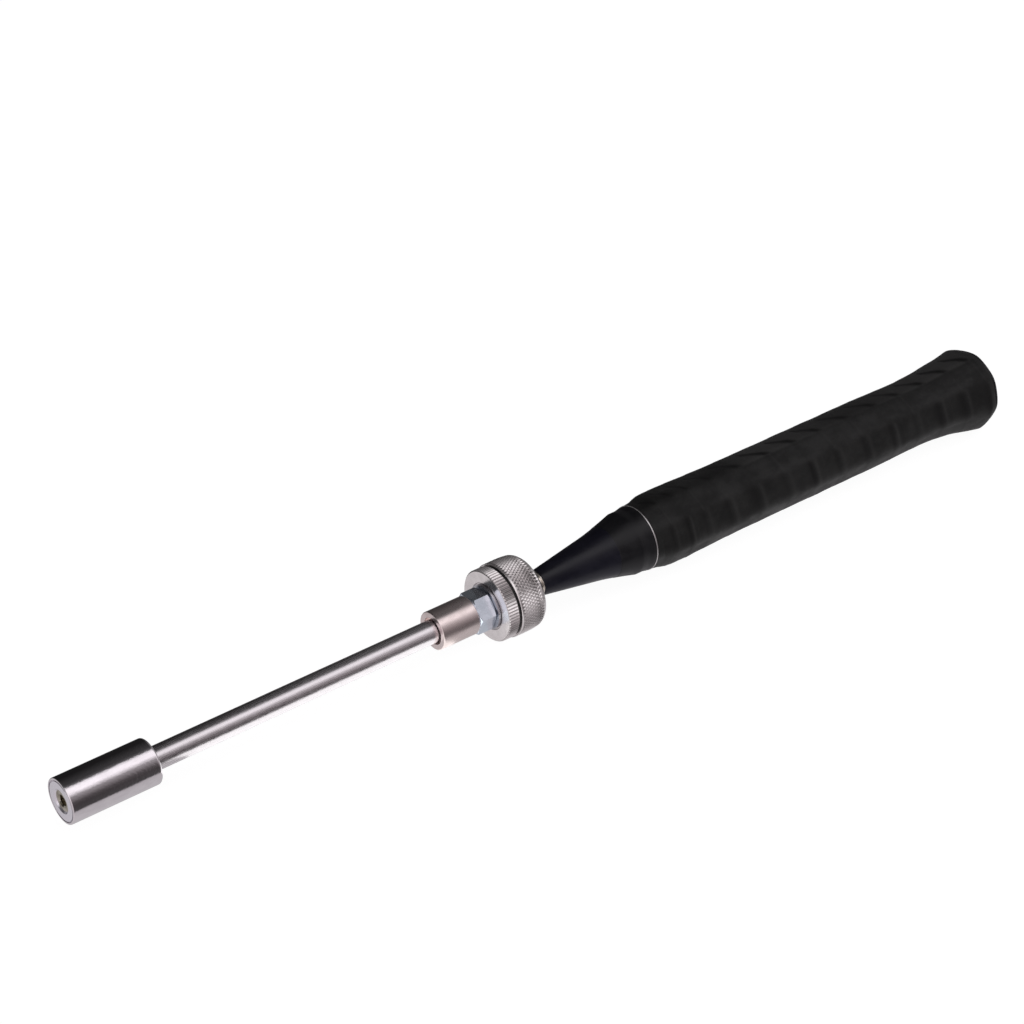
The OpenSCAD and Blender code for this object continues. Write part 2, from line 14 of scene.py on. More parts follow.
import bpy
import numpy as np
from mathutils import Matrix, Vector


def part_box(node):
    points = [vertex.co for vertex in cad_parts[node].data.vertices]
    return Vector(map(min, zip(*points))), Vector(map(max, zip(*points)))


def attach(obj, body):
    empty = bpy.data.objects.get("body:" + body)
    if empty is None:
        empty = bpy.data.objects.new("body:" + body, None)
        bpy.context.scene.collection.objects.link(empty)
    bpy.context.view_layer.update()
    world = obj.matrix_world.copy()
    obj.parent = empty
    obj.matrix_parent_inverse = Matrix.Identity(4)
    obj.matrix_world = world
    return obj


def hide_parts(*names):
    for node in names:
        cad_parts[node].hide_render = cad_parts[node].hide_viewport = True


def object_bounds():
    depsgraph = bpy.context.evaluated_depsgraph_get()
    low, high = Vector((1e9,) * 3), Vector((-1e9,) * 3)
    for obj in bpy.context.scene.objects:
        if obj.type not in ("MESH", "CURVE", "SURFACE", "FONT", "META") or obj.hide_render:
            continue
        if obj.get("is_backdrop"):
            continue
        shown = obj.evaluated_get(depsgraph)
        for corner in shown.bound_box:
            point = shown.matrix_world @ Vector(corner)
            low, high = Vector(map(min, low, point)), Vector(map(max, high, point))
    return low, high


MM = 0.001

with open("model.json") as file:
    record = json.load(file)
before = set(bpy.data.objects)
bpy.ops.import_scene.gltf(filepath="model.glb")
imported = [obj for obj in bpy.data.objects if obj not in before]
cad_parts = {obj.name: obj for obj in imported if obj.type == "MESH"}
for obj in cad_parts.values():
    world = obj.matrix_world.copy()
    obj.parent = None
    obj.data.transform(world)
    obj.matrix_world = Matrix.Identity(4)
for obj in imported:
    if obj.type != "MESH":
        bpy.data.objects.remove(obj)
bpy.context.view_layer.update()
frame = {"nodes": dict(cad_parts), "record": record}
nodes = frame["nodes"]
body_of = {n: body for body, names in frame["record"]["behaviour"]["bodies"].items() for n in names}


# ---------------------------------------------------------------- sizes read from the frame


def span(node):
    """(first x, last x, outside radius) of a CAD node."""
    low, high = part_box(node)
    return low[0], high[0], (high[2] - low[2]) / 2


head_x0, head_x1, head_r = span("head_shell")
pole_x0, pole_x1, cup_r = span("pole_disc")
screw_x0, screw_x1, screw_r = span("magnet_screw")
tube_x0, tube_x1, tube_r = span("outer_tube")
tube_2_r = span("tube_2")[2]
rod_r = span("inner_rod")[2]
socket_x0, socket_x1, socket_r = span("shaft_socket")
nut_x0, nut_x1 = span("hex_nut")[:2]
lock_r = span("lock_ring")[2]
stud_x0, stud_x1, stud_r = span("stud")
gasket_x1 = span("nut_gasket")[1]
thumb_x0, thumb_x1, thumb_r = span("thumb_nut")
cone_x0, cone_x1 = span("front_cone")[:2]
collar_x0, collar_x1, collar_r = span("cone_collar")
trim_x0, trim_x1, trim_r = span("trim_ring")
tape_x0, tape_x1 = span("grip_tape")[:2]
cap_x0, cap_x1 = span("butt_cap")[:2]
core_r = span("handle_core")[2]

# Room between the stud and the fixed pieces that it passes through
SLIP_GAP = 0.1 * MM

# The stud's thread, and the rings that draw one turn of it
THREAD_PITCH = 1.5 * MM
THREAD_DEPTH = 0.61 * THREAD_PITCH
THREAD_RINGS = 14

# The hex nut: its width across flats, the circle where its bevel meets its faces, and how far it is turned
NUT_FLATS = 16 * MM
NUT_BEVEL_R = 7.7 * MM
NUT_BEVEL_LEN = 1.0 * MM
NUT_BEVEL_ANGLE = math.radians(30)
NUT_TURN = math.radians(20)

# The screw in the magnet's face
SCREW_SHANK_R = 2.5 * MM
SCREW_SOCKET_FLATS = 4.4 * MM

# The thumb nut: its front boss, its rear face and its knurl
THUMB_BOSS_R = 10 * MM
THUMB_REAR_R = 14.5 * MM
DIAMONDS_ROUND = 70
DIAMOND_ROWS = 5
DIAMOND_HEIGHT = 0.38 * MM

# The round tenon that carries the cone and the trim ring, and the collar's wall with its fit on the cone
TENON_R = 9 * MM
COLLAR_WALL = 0.95 * MM


# ---------------------------------------------------------------- mesh helpers


def finish_mesh(obj, node, finish, crease=40):
    """Smooth shading with creases, the body of the CAD node it stands for, that node hidden, and its
    material.
    """
    mesh = obj.data
    mesh.polygons.foreach_set("use_smooth", [True] * len(mesh.polygons))
    mesh.set_sharp_from_angle(angle=math.radians(crease))
    weighted = obj.modifiers.new("even_normals", "WEIGHTED_NORMAL")
    weighted.keep_sharp = True
    mesh.materials.append(finish)
    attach(obj, body_of[node])
    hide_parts(node)


def linked_object(name, points, faces):
    """An object in the scene, from points and the faces between them."""
    mesh = bpy.data.meshes.new(name)
    mesh.from_pydata(points.tolist(), [], faces)
    obj = bpy.data.objects.new(name, mesh)
    bpy.context.scene.collection.objects.link(obj)
    return obj


def rings_mesh(name, rings, closed):
    """A mesh through rings of points, each (count, 3). Closed joins the last ring to the first."""
    rings = np.asarray(rings)
    ring_count, count = rings.shape[:2]
    faces = []
    for k in range(ring_count if closed else ring_count - 1):
        near, far = k * count, (k + 1) % ring_count * count
        for i in range(count):
            j = (i + 1) % count
            faces.append((near + i, far + i, far + j, near + j))
    if not closed:
        faces.append(tuple(range(count)))
        faces.append(tuple(reversed(range((ring_count - 1) * count, ring_count * count))))
    obj = linked_object(name, rings.reshape(-1, 3), faces)
    obj.data.validate()
    return obj


def full_turn(count):
    """Angles of a ring's points, in even steps once round."""
    return np.arange(count) * 2 * math.pi / count


def ring_at(x, radius, angle):
    """A ring of points about the tool's axis; the radius is one value, or one for each angle."""
    return np.stack([np.full(len(angle), x), radius * np.cos(angle), radius * np.sin(angle)], axis=1)


def softened(outline, steps=5):
    """An outline of (x, radius, softening) corners, with each corner of size above 0 rounded off."""
    points = []
    for k, (x, r, size) in enumerate(outline):
        here = Vector((x, r))
        if not size:
            points.append(here)
            continue
        before = Vector(outline[k - 1][:2]) - here
        after = Vector(outline[(k + 1) % len(outline)][:2]) - here
        start = here + before.normalized() * min(size, before.length * 0.49)
        end = here + after.normalized() * min(size, after.length * 0.49)
        for step in range(steps + 1):
            t = step / steps
            points.append(start * (1 - t) ** 2 + here * 2 * t * (1 - t) + end * t * t)
    return points


def lathe(name, node, outline, finish):
    """A closed body of revolution about X from its half outline, standing for a CAD node."""
    angle = full_turn(192)
    rings = [ring_at(point.x, max(point.y, 1e-6), angle) for point in softened(outline)]
    finish_mesh(rings_mesh(name, rings, closed=True), node, finish)


def smoothstep(t):
    """Eases a share from 0 to 1."""
    return (3 - 2 * t) * t * t


def share(x, a, b):
    """How far x has come from a to b, from 0 to 1."""
    return np.clip((x - a) / (b - a), 0, 1)


# ---------------------------------------------------------------- shader helpers


def add(tree, kind, inputs=None, **settings):
    """A shader node with its settings, and its inputs set to values or linked to sockets."""
    node = tree.nodes.new(kind)
    for key, value in settings.items():
        setattr(node, key, value)
    for key, value in (inputs or {}).items():
        if isinstance(value, bpy.types.NodeSocket):
            tree.links.new(value, node.inputs[key])
        else:
            node.inputs[key].default_value = value
    return node


def math_node(tree, operation, a, b=0.0, clamp=False):
    """The result socket of a math node."""
    return add(tree, "ShaderNodeMath", {0: a, 1: b}, operation=operation, use_clamp=clamp).outputs[0]


def mapped(tree, value, low, high, to_low=0.0, to_high=1.0, smooth=True):
    """The result socket of a clamped map range."""
    kind = "SMOOTHSTEP" if smooth else "LINEAR"
    inputs = {0: value, 1: low, 2: high, 3: to_low, 4: to_high}
    return add(tree, "ShaderNodeMapRange", inputs, interpolation_type=kind).outputs[0]


def mixed(tree, factor, a, b):
    """The colour socket of a mix of two colours."""
    node = add(tree, "ShaderNodeMix", {0: factor}, data_type="RGBA")
    for index, value in ((6, a), (7, b)):
        if isinstance(value, bpy.types.NodeSocket):
            tree.links.new(value, node.inputs[index])
        else:
            node.inputs[index].default_value = (*value[:3], 1)
    return node.outputs[2]


def effect(name, outputs, inputs=()):
    """A new node group: (the group, its input sockets, a function that links one output)."""
    group = bpy.data.node_groups.new(name, "ShaderNodeTree")
    for label, kind, default in inputs:
        socket = group.interface.new_socket(label, in_out="INPUT", socket_type=kind)
        socket.default_value = default
    for label, kind in outputs:
        group.interface.new_socket(label, in_out="OUTPUT", socket_type=kind)
    source = group.nodes.new("NodeGroupInput")
    sink = group.nodes.new("NodeGroupOutput")
    return group, source.outputs, lambda label, socket: group.links.new(socket, sink.inputs[label])


def use(tree, group, **inputs):
    """The outputs of a node group placed in a material."""
    node = tree.nodes.new("ShaderNodeGroup")
    node.node_tree = group
    for key, value in inputs.items():
        node.inputs[key].default_value = value
    return node.outputs


FLOAT, VECTOR = "NodeSocketFloat", "NodeSocketVector"


def object_point(tree):
    """The socket that gives a point in the piece's own coordinates, in millimetres."""
    point = tree.nodes.new("ShaderNodeTexCoord").outputs["Object"]
    return stretched(tree, point, (1000, 1000, 1000))


def stretched(tree, point, factors):
    """The socket of a point multiplied along each axis."""
    return add(tree, "ShaderNodeVectorMath", {0: point, 1: factors}, operation="MULTIPLY").outputs[0]


def stretched_noise(tree, stretch, scale, detail):
    """Noise over the piece's coordinates in millimetres, squeezed along each axis by stretch."""
    point = stretched(tree, object_point(tree), stretch)
    inputs = {"Vector": point, "Scale": scale, "Detail": detail, "Roughness": 0.6}
    return add(tree, "ShaderNodeTexNoise", inputs).outputs[0]


def bumped(tree, height, strength, distance):
    """The normal socket of a bump; distance is in metres."""
    inputs = {"Height": height, "Strength": strength, "Distance": distance}
    return add(tree, "ShaderNodeBump", inputs).outputs[0]


def plating_effect():
    """Faint orange peel and cloudy patches of a plated surface."""
    group, given, give = effect("plating", [("Cloud", FLOAT), ("Normal", VECTOR)], [("Peel", FLOAT, 0.1)])
    peel = stretched_noise(group, (1, 1, 1), 1.0, 3)
    cloud = stretched_noise(group, (0.5, 1, 1), 0.22, 4)
    give("Cloud", mapped(group, cloud, 0.35, 0.65))
    give("Normal", bumped(group, peel, given["Peel"], 0.06 * MM))
    return group


def drawn_effect():
    """Fine lines along the tool, as drawing leaves them on a tube, with small dark specks."""
    group, given, give = effect("drawn", [("Grain", FLOAT), ("Speck", FLOAT), ("Normal", VECTOR)])
    grain = stretched_noise(group, (0.06, 1, 1), 5.0, 5)
    speck = stretched_noise(group, (0.6, 1, 1), 2.6, 2)
    give("Grain", mapped(group, grain, 0.3, 0.7))
    give("Speck", mapped(group, speck, 0.56, 0.74))
    give("Normal", bumped(group, grain, 0.6, 0.03 * MM))
    return group


def turned_effect():
    """Fine rings about the tool's axis, as a lathe or a grinding cup leaves them."""
    group, given, give = effect("turned", [("Ring", FLOAT), ("Normal", VECTOR)])
    xyz = add(group, "ShaderNodeSeparateXYZ", {0: object_point(group)}).outputs
    radius = axis_distance(group, xyz)
    place = add(group, "ShaderNodeCombineXYZ", {0: xyz[0], 1: radius}).outputs[0]
    inputs = {"Vector": place, "Scale": 9.0, "Detail": 4.0, "Roughness": 0.7}
    ring = add(group, "ShaderNodeTexNoise", inputs, noise_dimensions="2D").outputs[0]
    give("Ring", mapped(group, ring, 0.3, 0.7))
    give("Normal", bumped(group, ring, 0.3, 0.02 * MM))
    return group


def axis_distance(tree, xyz):
    """Distance of a point from the X axis."""
    squares = [math_node(tree, "MULTIPLY", xyz[k], xyz[k]) for k in (1, 2)]
    return math_node(tree, "SQRT", math_node(tree, "ADD", *squares))


def groove_effect():
    """How deep a point lies in a knurl: 1 at the bottom of its grooves, 0 at the crests and further in."""
    inputs = [("Crest", FLOAT, 10.0), ("Depth", FLOAT, 0.4)]
    group, given, give = effect("grooves", [("Depth", FLOAT)], inputs)
    xyz = add(group, "ShaderNodeSeparateXYZ", {0: object_point(group)}).outputs
    below = math_node(group, "SUBTRACT", given["Crest"], axis_distance(group, xyz))
    sunk = math_node(group, "DIVIDE", below, given["Depth"])
    in_band = math_node(group, "LESS_THAN", sunk, 1.25)
    give("Depth", math_node(group, "MULTIPLY", sunk, in_band, clamp=True))
    return group


def soft_grain_effect():
    """The skin of polyurethane tape: tiny pores, a fine pebble and broad soft patches."""
    group, given, give = effect("soft_grain", [("Patch", FLOAT), ("Pore", FLOAT), ("Normal", VECTOR)])
    inputs = {"Vector": object_point(group), "Scale": 1.7, "Randomness": 1.0}
    pebble = add(group, "ShaderNodeTexVoronoi", inputs, feature="SMOOTH_F1").outputs["Distance"]
    fine = stretched_noise(group, (1, 1, 1), 2.8, 4)
    height = math_node(group, "ADD", pebble, fine)
    give("Patch", mapped(group, stretched_noise(group, (0.7, 1, 1), 0.11, 4), 0.32, 0.68))
    give("Pore", mapped(group, pebble, 0.1, 0.5))
    give("Normal", bumped(group, height, 0.4, 0.06 * MM))
    return group


PLATING = plating_effect()
DRAWN = drawn_effect()
TURNED = turned_effect()
GROOVES = groove_effect()
SOFT_GRAIN = soft_grain_effect()


def material(name):
    """A new material: (the material, its tree, its Principled shader)."""
    made = bpy.data.materials.new(name)
    made.use_nodes = True
    tree = made.node_tree
    return made, tree, tree.nodes["Principled BSDF"]


def set_inputs(shader, **values):
    """Sets a shader's sockets; underscores stand for spaces."""
    for key, value in values.items():
        shader.inputs[key.replace("_", " ")].default_value = value


def feed(tree, shader, **sockets):
    """Links sockets to a shader's inputs; underscores stand for spaces."""
    for key, socket in sockets.items():
        tree.links.new(socket, shader.inputs[key.replace("_", " ")])


# ---------------------------------------------------------------- materials


def plated(name, bright, dull, smooth, rough, peel):
    """A plated metal whose colour and polish wander between two states."""
    made, tree, shader = material(name)
    plating = use(tree, PLATING, Peel=peel)
    set_inputs(shader, Metallic=1.0)
    feed(tree, shader,
         Base_Color=mixed(tree, plating["Cloud"], bright, dull),
         Roughness=mapped(tree, plating["Cloud"], 0.0, 1.0, smooth, rough),
         Normal=plating["Normal"])
    return made


def drawn_steel():
    """Drawn stainless tube: lengthwise grain and small dark specks."""
    made, tree, shader = material("drawn_steel")
    drawn = use(tree, DRAWN)
    clean = mixed(tree, drawn["Grain"], (0.70, 0.665, 0.685), (0.82, 0.785, 0.805))
    set_inputs(shader, Metallic=1.0)
    feed(tree, shader,
         Base_Color=mixed(tree, math_node(tree, "MULTIPLY", drawn["Speck"], 0.3), clean, (0.3, 0.27, 0.28)),
         Roughness=mapped(tree, drawn["Grain"], 0.0, 1.0, 0.21, 0.31),
         Normal=drawn["Normal"])
    return made


def ground_steel(name, pale, dark, smooth, rough):
    """A face left by a lathe or a grinding cup."""
    made, tree, shader = material(name)
    turned = use(tree, TURNED)
    set_inputs(shader, Metallic=1.0)
    feed(tree, shader,
         Base_Color=mixed(tree, turned["Ring"], pale, dark),
         Roughness=mapped(tree, turned["Ring"], 0.0, 1.0, smooth, rough),
         Normal=turned["Normal"])
    return made


def knurled(name, crest, depth):
    """Satin nickel over a knurl whose crests are worn bright, with painted shade darkening its grooves."""
    made, tree, shader = material(name)
    plating = use(tree, PLATING, Peel=0.12)
    grooves = use(tree, GROOVES, Crest=crest / MM, Depth=depth / MM)
    clean = mixed(tree, plating["Cloud"], (0.93, 0.89, 0.885), (0.86, 0.82, 0.815))
    # Painted shade: the colour darkens towards the bottom of the knurl's grooves
    groove_shade = mapped(tree, grooves["Depth"], 0.6, 1.0, 0.0, 0.5)
    set_inputs(shader, Metallic=1.0)
    feed(tree, shader,
         Base_Color=mixed(tree, groove_shade, clean, (0.09, 0.075, 0.07)),
         Roughness=mapped(tree, grooves["Depth"], 0.0, 0.6, 0.22, 0.4),
         Normal=plating["Normal"])
    return made


def lacquer(name, low, high, smooth, rough):
    """A dark coated or moulded part, faintly clouded, with its finish a little uneven."""
    made, tree, shader = material(name)
    plating = use(tree, PLATING, Peel=0.06)
    set_inputs(shader, Specular_IOR_Level=0.3)
    feed(tree, shader,
         Base_Color=mixed(tree, plating["Cloud"], low, high),
         Roughness=mapped(tree, plating["Cloud"], 0.0, 1.0, smooth, rough),
         Normal=plating["Normal"])
    return made


def soft_tape():
    """Matte polyurethane tape, with painted shade where its edges and folds sink and a painted sheen beside
    the bands and along its top.
    """
    made, tree, shader = material("soft_tape")
    grain = use(tree, SOFT_GRAIN)
    # This attribute holds painted shade along the tape's overlapping edges and folds
    painted_shade = add(tree, "ShaderNodeAttribute", attribute_name="painted_shade").outputs["Fac"]
    # This attribute holds a painted sheen that lightens the tape beside its bands, on looser laps and along
    # its top
    painted_sheen = add(tree, "ShaderNodeAttribute", attribute_name="painted_sheen").outputs["Fac"]
    skin = mixed(tree, grain["Patch"], (0.003, 0.0032, 0.003), (0.0118, 0.0121, 0.0116))
    pored = mixed(tree, math_node(tree, "MULTIPLY", grain["Pore"], 0.25), skin, (0.003, 0.003, 0.003))
    with_sheen = mixed(tree, painted_sheen, pored, (0.032, 0.032, 0.0315))
    set_inputs(shader, Specular_IOR_Level=0.26, Sheen_Weight=0.03, Sheen_Roughness=0.5)
    feed(tree, shader,
         Base_Color=mixed(tree, painted_shade, with_sheen, (0.001, 0.001, 0.001)),
         Roughness=mapped(tree, grain["Patch"], 0.0, 1.0, 0.6, 0.48),
         Normal=grain["Normal"])
    return made


def plain(name, low, high, roughness, metallic=0.0):
    """A hidden or small piece: two close tones and one finish."""
    made, tree, shader = material(name)
    plating = use(tree, PLATING, Peel=0.3)
    set_inputs(shader, Metallic=metallic, Roughness=roughness)
    feed(tree, shader, Base_Color=mixed(tree, plating["Cloud"], low, high), Normal=plating["Normal"])
    return made


def raw_beech():
    """Raw beech with its grain along the tool."""
    made, tree, shader = material("beech")
    drawn = use(tree, DRAWN)
    set_inputs(shader, Roughness=0.6)
    feed(tree, shader, Base_Color=mixed(tree, drawn["Grain"], (0.5, 0.34, 0.19), (0.68, 0.51, 0.33)))
    return made


CHROME = plated(
    "polished_nickel", (0.84, 0.80, 0.83), (0.77, 0.73, 0.76), smooth=0.03, rough=0.075, peel=0.55
)
TRIM = plated("trim_nickel", (0.74, 0.72, 0.72), (0.64, 0.62, 0.62), smooth=0.3, rough=0.42, peel=0.1)
WARM_NICKEL = plated(
    "warm_nickel", (0.82, 0.715, 0.70), (0.75, 0.65, 0.63), smooth=0.22, rough=0.32, peel=0.15
)
THREAD = plated("thread_nickel", (0.90, 0.86, 0.80), (0.82, 0.77, 0.71), smooth=0.16, rough=0.26, peel=0.1)
ZINC = plated("blue_zinc", (0.80, 0.87, 0.96), (0.70, 0.77, 0.86), smooth=0.12, rough=0.22, peel=0.2)
# Painted shade: the washer's zinc is darkened to stand for the shade between the hex nut and the lock ring
SHADE_DARKENED_WASHER = plated("washer_zinc_painted_shade", (0.50, 0.50, 0.53), (0.40, 0.40, 0.43), smooth=0.2, rough=0.3, peel=0.1)
FACE = ground_steel("ground_face", (0.94, 0.92, 0.97), (0.80, 0.78, 0.84), smooth=0.26, rough=0.4)
TUBE = drawn_steel()
KNURL = knurled("knurled_nickel", crest=thumb_r, depth=0.45 * MM)
LOCK_KNURL = knurled("grooved_nickel", crest=lock_r, depth=0.42 * MM)
CONE = lacquer("blue_black", (0.006, 0.006, 0.011), (0.0075, 0.0075, 0.0135), smooth=0.3, rough=0.38)
COLLAR = lacquer("collar_black", (0.0055, 0.0055, 0.0068), (0.0075, 0.0075, 0.009), smooth=0.35, rough=0.44)
TAPE = soft_tape()
RUBBER = plain("gasket_rubber", (0.008, 0.008, 0.008), (0.014, 0.014, 0.014), roughness=0.55)
SCREW = plain("screw_black", (0.5, 0.47, 0.4), (0.26, 0.23, 0.17), roughness=0.16, metallic=1.0)
MAGNET = plain("magnet_nickel", (0.55, 0.55, 0.56), (0.45, 0.45, 0.47), roughness=0.3, metallic=1.0)
BRASS = plain("brass", (0.70, 0.52, 0.25), (0.58, 0.42, 0.2), roughness=0.32, metallic=1.0)
FOAM = plain("cushion_foam", (0.03, 0.03, 0.03), (0.045, 0.045, 0.045), roughness=0.9)
BEECH = raw_beech()

# Finishes of the CAD nodes that are shown as they are
FINISHES = {
    "ring_magnet": MAGNET, "back_magnet": MAGNET, "inner_rod": TUBE, "rod_stop": TUBE,
    "rod_bush": BRASS, "tube_3": TUBE, "bush_3": BRASS, "tube_2": TUBE, "bush_2": BRASS, "tube_plug": TUBE,
    "nut_washer": SHADE_DARKENED_WASHER, "lock_ring": LOCK_KNURL, "nut_gasket": RUBBER,
    "handle_core": BEECH, "stud_insert": BRASS, "anchor_pin": TUBE, "grip_underlay": FOAM,
}


# ---------------------------------------------------------------- turned pieces


def make_head():
    """The polished pot, with a thin bright rim and a close rear edge."""
    wall = head_r - cup_r
    floor = pole_x1 + 20 * MM
    neck_x = head_x1 - 2 * wall
    outline = [
        (floor, 0, 0), (floor, cup_r, 0), (head_x0, cup_r, 0.12 * MM), (head_x0, head_r, 0.75 * MM),
        (head_x1, head_r, 1.1 * MM), (head_x1, rod_r, 0.1 * MM), (neck_x, rod_r, 0), (neck_x, 0, 0),
    ]
    lathe("head_skin", "head_shell", outline, CHROME)


def make_pole():
    """The ground face plate with its groove and countersink."""
    groove = 0.45 * MM
    groove_x = pole_x0 + 1 * MM
    disc_r = cup_r - groove
    mouth_r = screw_r + 0.6 * MM
    hole_r = 2.6 * MM
    sink_x = pole_x0 + mouth_r - hole_r
    outline = [
        (pole_x0, mouth_r, 0.1 * MM), (pole_x0, disc_r, 0.15 * MM), (groove_x, disc_r, 0),
        (groove_x, cup_r, 0), (pole_x1, cup_r, 0), (pole_x1, hole_r, 0), (sink_x, hole_r, 0),
    ]
    lathe("pole_skin", "pole_disc", outline, FACE)


def hexagon_radius(angle, across_flats, turn):
    """Radius of a hexagon whose first flat faces the angle `turn`."""
    from_flat = (angle - turn + math.pi / 6) % (math.pi / 3) - math.pi / 6
    return across_flats / 2 / np.cos(from_flat)


def make_screw():
    """The countersunk screw in the magnet's face, with its hex socket."""
    angle = full_turn(72)
    socket = hexagon_radius(angle, SCREW_SOCKET_FLATS, 0)
    edge = 0.25 * MM
    sink_x = screw_x0 + screw_r - SCREW_SHANK_R
    profile = [
        (screw_x1, SCREW_SHANK_R), (sink_x, SCREW_SHANK_R), (screw_x0 + edge, screw_r),
        (screw_x0, screw_r - edge), (screw_x0, 3.0 * MM), (screw_x0 + 0.45 * MM, socket),
        (screw_x0 + 2.3 * MM, socket), (screw_x0 + 2.4 * MM, socket * 0.9), (screw_x0 + 3.0 * MM, 0.01 * MM),
    ]
    rings = [ring_at(x, radius * np.ones(len(angle)), angle) for x, radius in profile]
    finish_mesh(rings_mesh("screw_head", rings, closed=False), "magnet_screw", SCREW, crease=25)


def make_nut():
    """The hexagon nut, its corners cut back by the usual cone on both faces."""
    angle = full_turn(144)
    hexagon = hexagon_radius(angle, NUT_FLATS, NUT_TURN)
    hole_r = stud_r + SLIP_GAP
    depths = np.linspace(0, NUT_BEVEL_LEN, 9)
    front = [(nut_x0 + depth, depth) for depth in depths]
    rear = [(nut_x1 - depth, depth) for depth in depths[::-1]]
    rings = [ring_at(nut_x0, hole_r, angle)]
    for x, depth in front + rear:
        cone = NUT_BEVEL_R + depth / math.tan(NUT_BEVEL_ANGLE)
        rings.append(ring_at(x, np.minimum(hexagon, cone), angle))
    rings.append(ring_at(nut_x1, hole_r, angle))
    finish_mesh(rings_mesh("nut_body", rings, closed=True), "hex_nut", ZINC, crease=25)


def knurl_rings(x0, x1, angle):
    """Rings through a band of diamonds, low where two grooves cross and high at the tips between them."""
    rows = 2 * DIAMOND_ROWS
    column = np.arange(len(angle))
    crown_start, crown_drop = 0.45, 0.6 * MM
    rings = []
    for j in range(rows + 1):
        part = j / rows
        crown = thumb_r - crown_drop * (max(0, part - crown_start) / (1 - crown_start)) ** 2
        is_tip = ((column + j) % 2 != 0) & (0 < j < rows)
        radius = crown - np.where(is_tip, 0, DIAMOND_HEIGHT)
        rings.append(ring_at(x0 + (x1 - x0) * part, radius, angle))
    return rings


def knurl_faces(ring_count, columns, first):
    """Triangles of a closed set of rings, split along the diamonds' edges from the ring `first` on."""
    faces = []
    for k in range(ring_count):
        near, far = k * columns, (k + 1) % ring_count * columns
        for i in range(columns):
            j = (i + 1) % columns
            if (i + k - first) % 2 == 0:
                faces += [(near + i, far + i, far + j), (near + i, far + j, near + j)]
            else:
                faces += [(near + i, far + i, near + j), (near + j, far + i, far + j)]
    return faces


def make_thumb_nut():
    """The thumb nut: a boss, a thin plain lip and the diamond knurl on a crowned band."""
    angle = full_turn(2 * DIAMONDS_ROUND)
    front_x = gasket_x1 + 0.1 * MM
    knurl_x0, knurl_x1 = front_x + 0.75 * MM, thumb_x1 - 0.9 * MM
    hole_r = stud_r + 0.15 * MM
    lip_r = thumb_r - 0.1 * MM
    bevel = 0.2 * MM
    front = [
        (thumb_x0, hole_r), (thumb_x0, THUMB_BOSS_R), (front_x, THUMB_BOSS_R), (front_x, lip_r - bevel),
        (front_x + bevel, lip_r), (knurl_x0 - 0.1 * MM, lip_r),
    ]
    rear = [(thumb_x1, THUMB_REAR_R), (thumb_x1, hole_r)]
    rings = [ring_at(x, radius, angle) for x, radius in front]
    rings += knurl_rings(knurl_x0, knurl_x1, angle)
    rings += [ring_at(x, radius, angle) for x, radius in rear]
    faces = knurl_faces(len(rings), len(angle), len(front))
    obj = linked_object("thumb_knurl", np.concatenate(rings), faces)
    finish_mesh(obj, "thumb_nut", KNURL, crease=12)


def make_tube():
    """The outer tube with its rolled-in mouth."""
    bore_r = tube_r - 0.5 * MM
    guide_r = tube_2_r + 0.05 * MM
    lip_x = tube_x0 + 2.5 * MM
    outline = [
        (tube_x0, guide_r, 0.1 * MM), (tube_x0, tube_r, 0.35 * MM), (tube_x1, tube_r, 0),
        (tube_x1, bore_r, 0), (lip_x, bore_r, 0), (lip_x, guide_r, 0),
    ]
    lathe("tube_skin", "outer_tube", outline, TUBE)


def make_socket():
    """The nickel sleeve with its open mouth round the tube."""
    mouth_r = 5.8 * MM
    seat_x = socket_x0 + 2.5 * MM
    web_x = stud_x0 - 0.3 * MM
    hole_r = stud_r + SLIP_GAP
    outline = [
        (socket_x0, mouth_r, 0.3 * MM), (socket_x0, socket_r, 0.5 * MM), (socket_x1, socket_r, 0.4 * MM),
        (socket_x1, hole_r, 0.1 * MM), (web_x, hole_r, 0), (web_x, 0, 0),
        (tube_x1, 0, 0), (tube_x1, tube_r, 0), (seat_x, tube_r, 0), (seat_x, mouth_r, 0),
    ]
    lathe("socket_skin", "shaft_socket", outline, WARM_NICKEL)


def nose_radius(x):
    """Outside radius of the cone and its collar: straight, flaring, then level and up to the trim ring."""
    tip_r, waist_r, wide_r = 5.6 * MM, 9.8 * MM, 13.85 * MM
    straight_len, flare_power = 27.5 * MM, 1.6
    waist_x = cone_x0 + straight_len
    flare_x1 = trim_x0 - 6.9 * MM
    land_x = flare_x1 + 3 * MM
    slope = (waist_r - tip_r) / straight_len
    if x < waist_x:
        return tip_r + slope * (x - cone_x0)
    if x < flare_x1:
        flared = slope * (flare_x1 - waist_x)
        t = (x - waist_x) / (flare_x1 - waist_x)
        return waist_r + flared * t + (wide_r - waist_r - flared) * t ** flare_power
    t = min(1, max(0, (x - land_x) / (trim_x0 - land_x)))
    return wide_r + (collar_r - wide_r) * smoothstep(t)


def make_cone():
    """The cone: its skin up to the collar, then the thinner part that the collar hides, and its hollow."""
    hole_r = stud_r + SLIP_GAP
    cavity_x = cone_x1 - 17.3 * MM
    outline = [(cone_x0, hole_r, 0), (cone_x0, nose_radius(cone_x0), 0.35 * MM)]
    outline += [(x, nose_radius(x), 0) for x in np.linspace(cone_x0, collar_x0 + 0.4 * MM, 40)[1:]]
    outline += [(x, nose_radius(x) - COLLAR_WALL, 0) for x in np.linspace(collar_x0 + 0.5 * MM, cone_x1, 12)]
    outline += [(cone_x1, TENON_R, 0), (cavity_x, TENON_R, 0), (cavity_x, hole_r, 0)]
    lathe("cone_skin", "front_cone", outline, CONE)


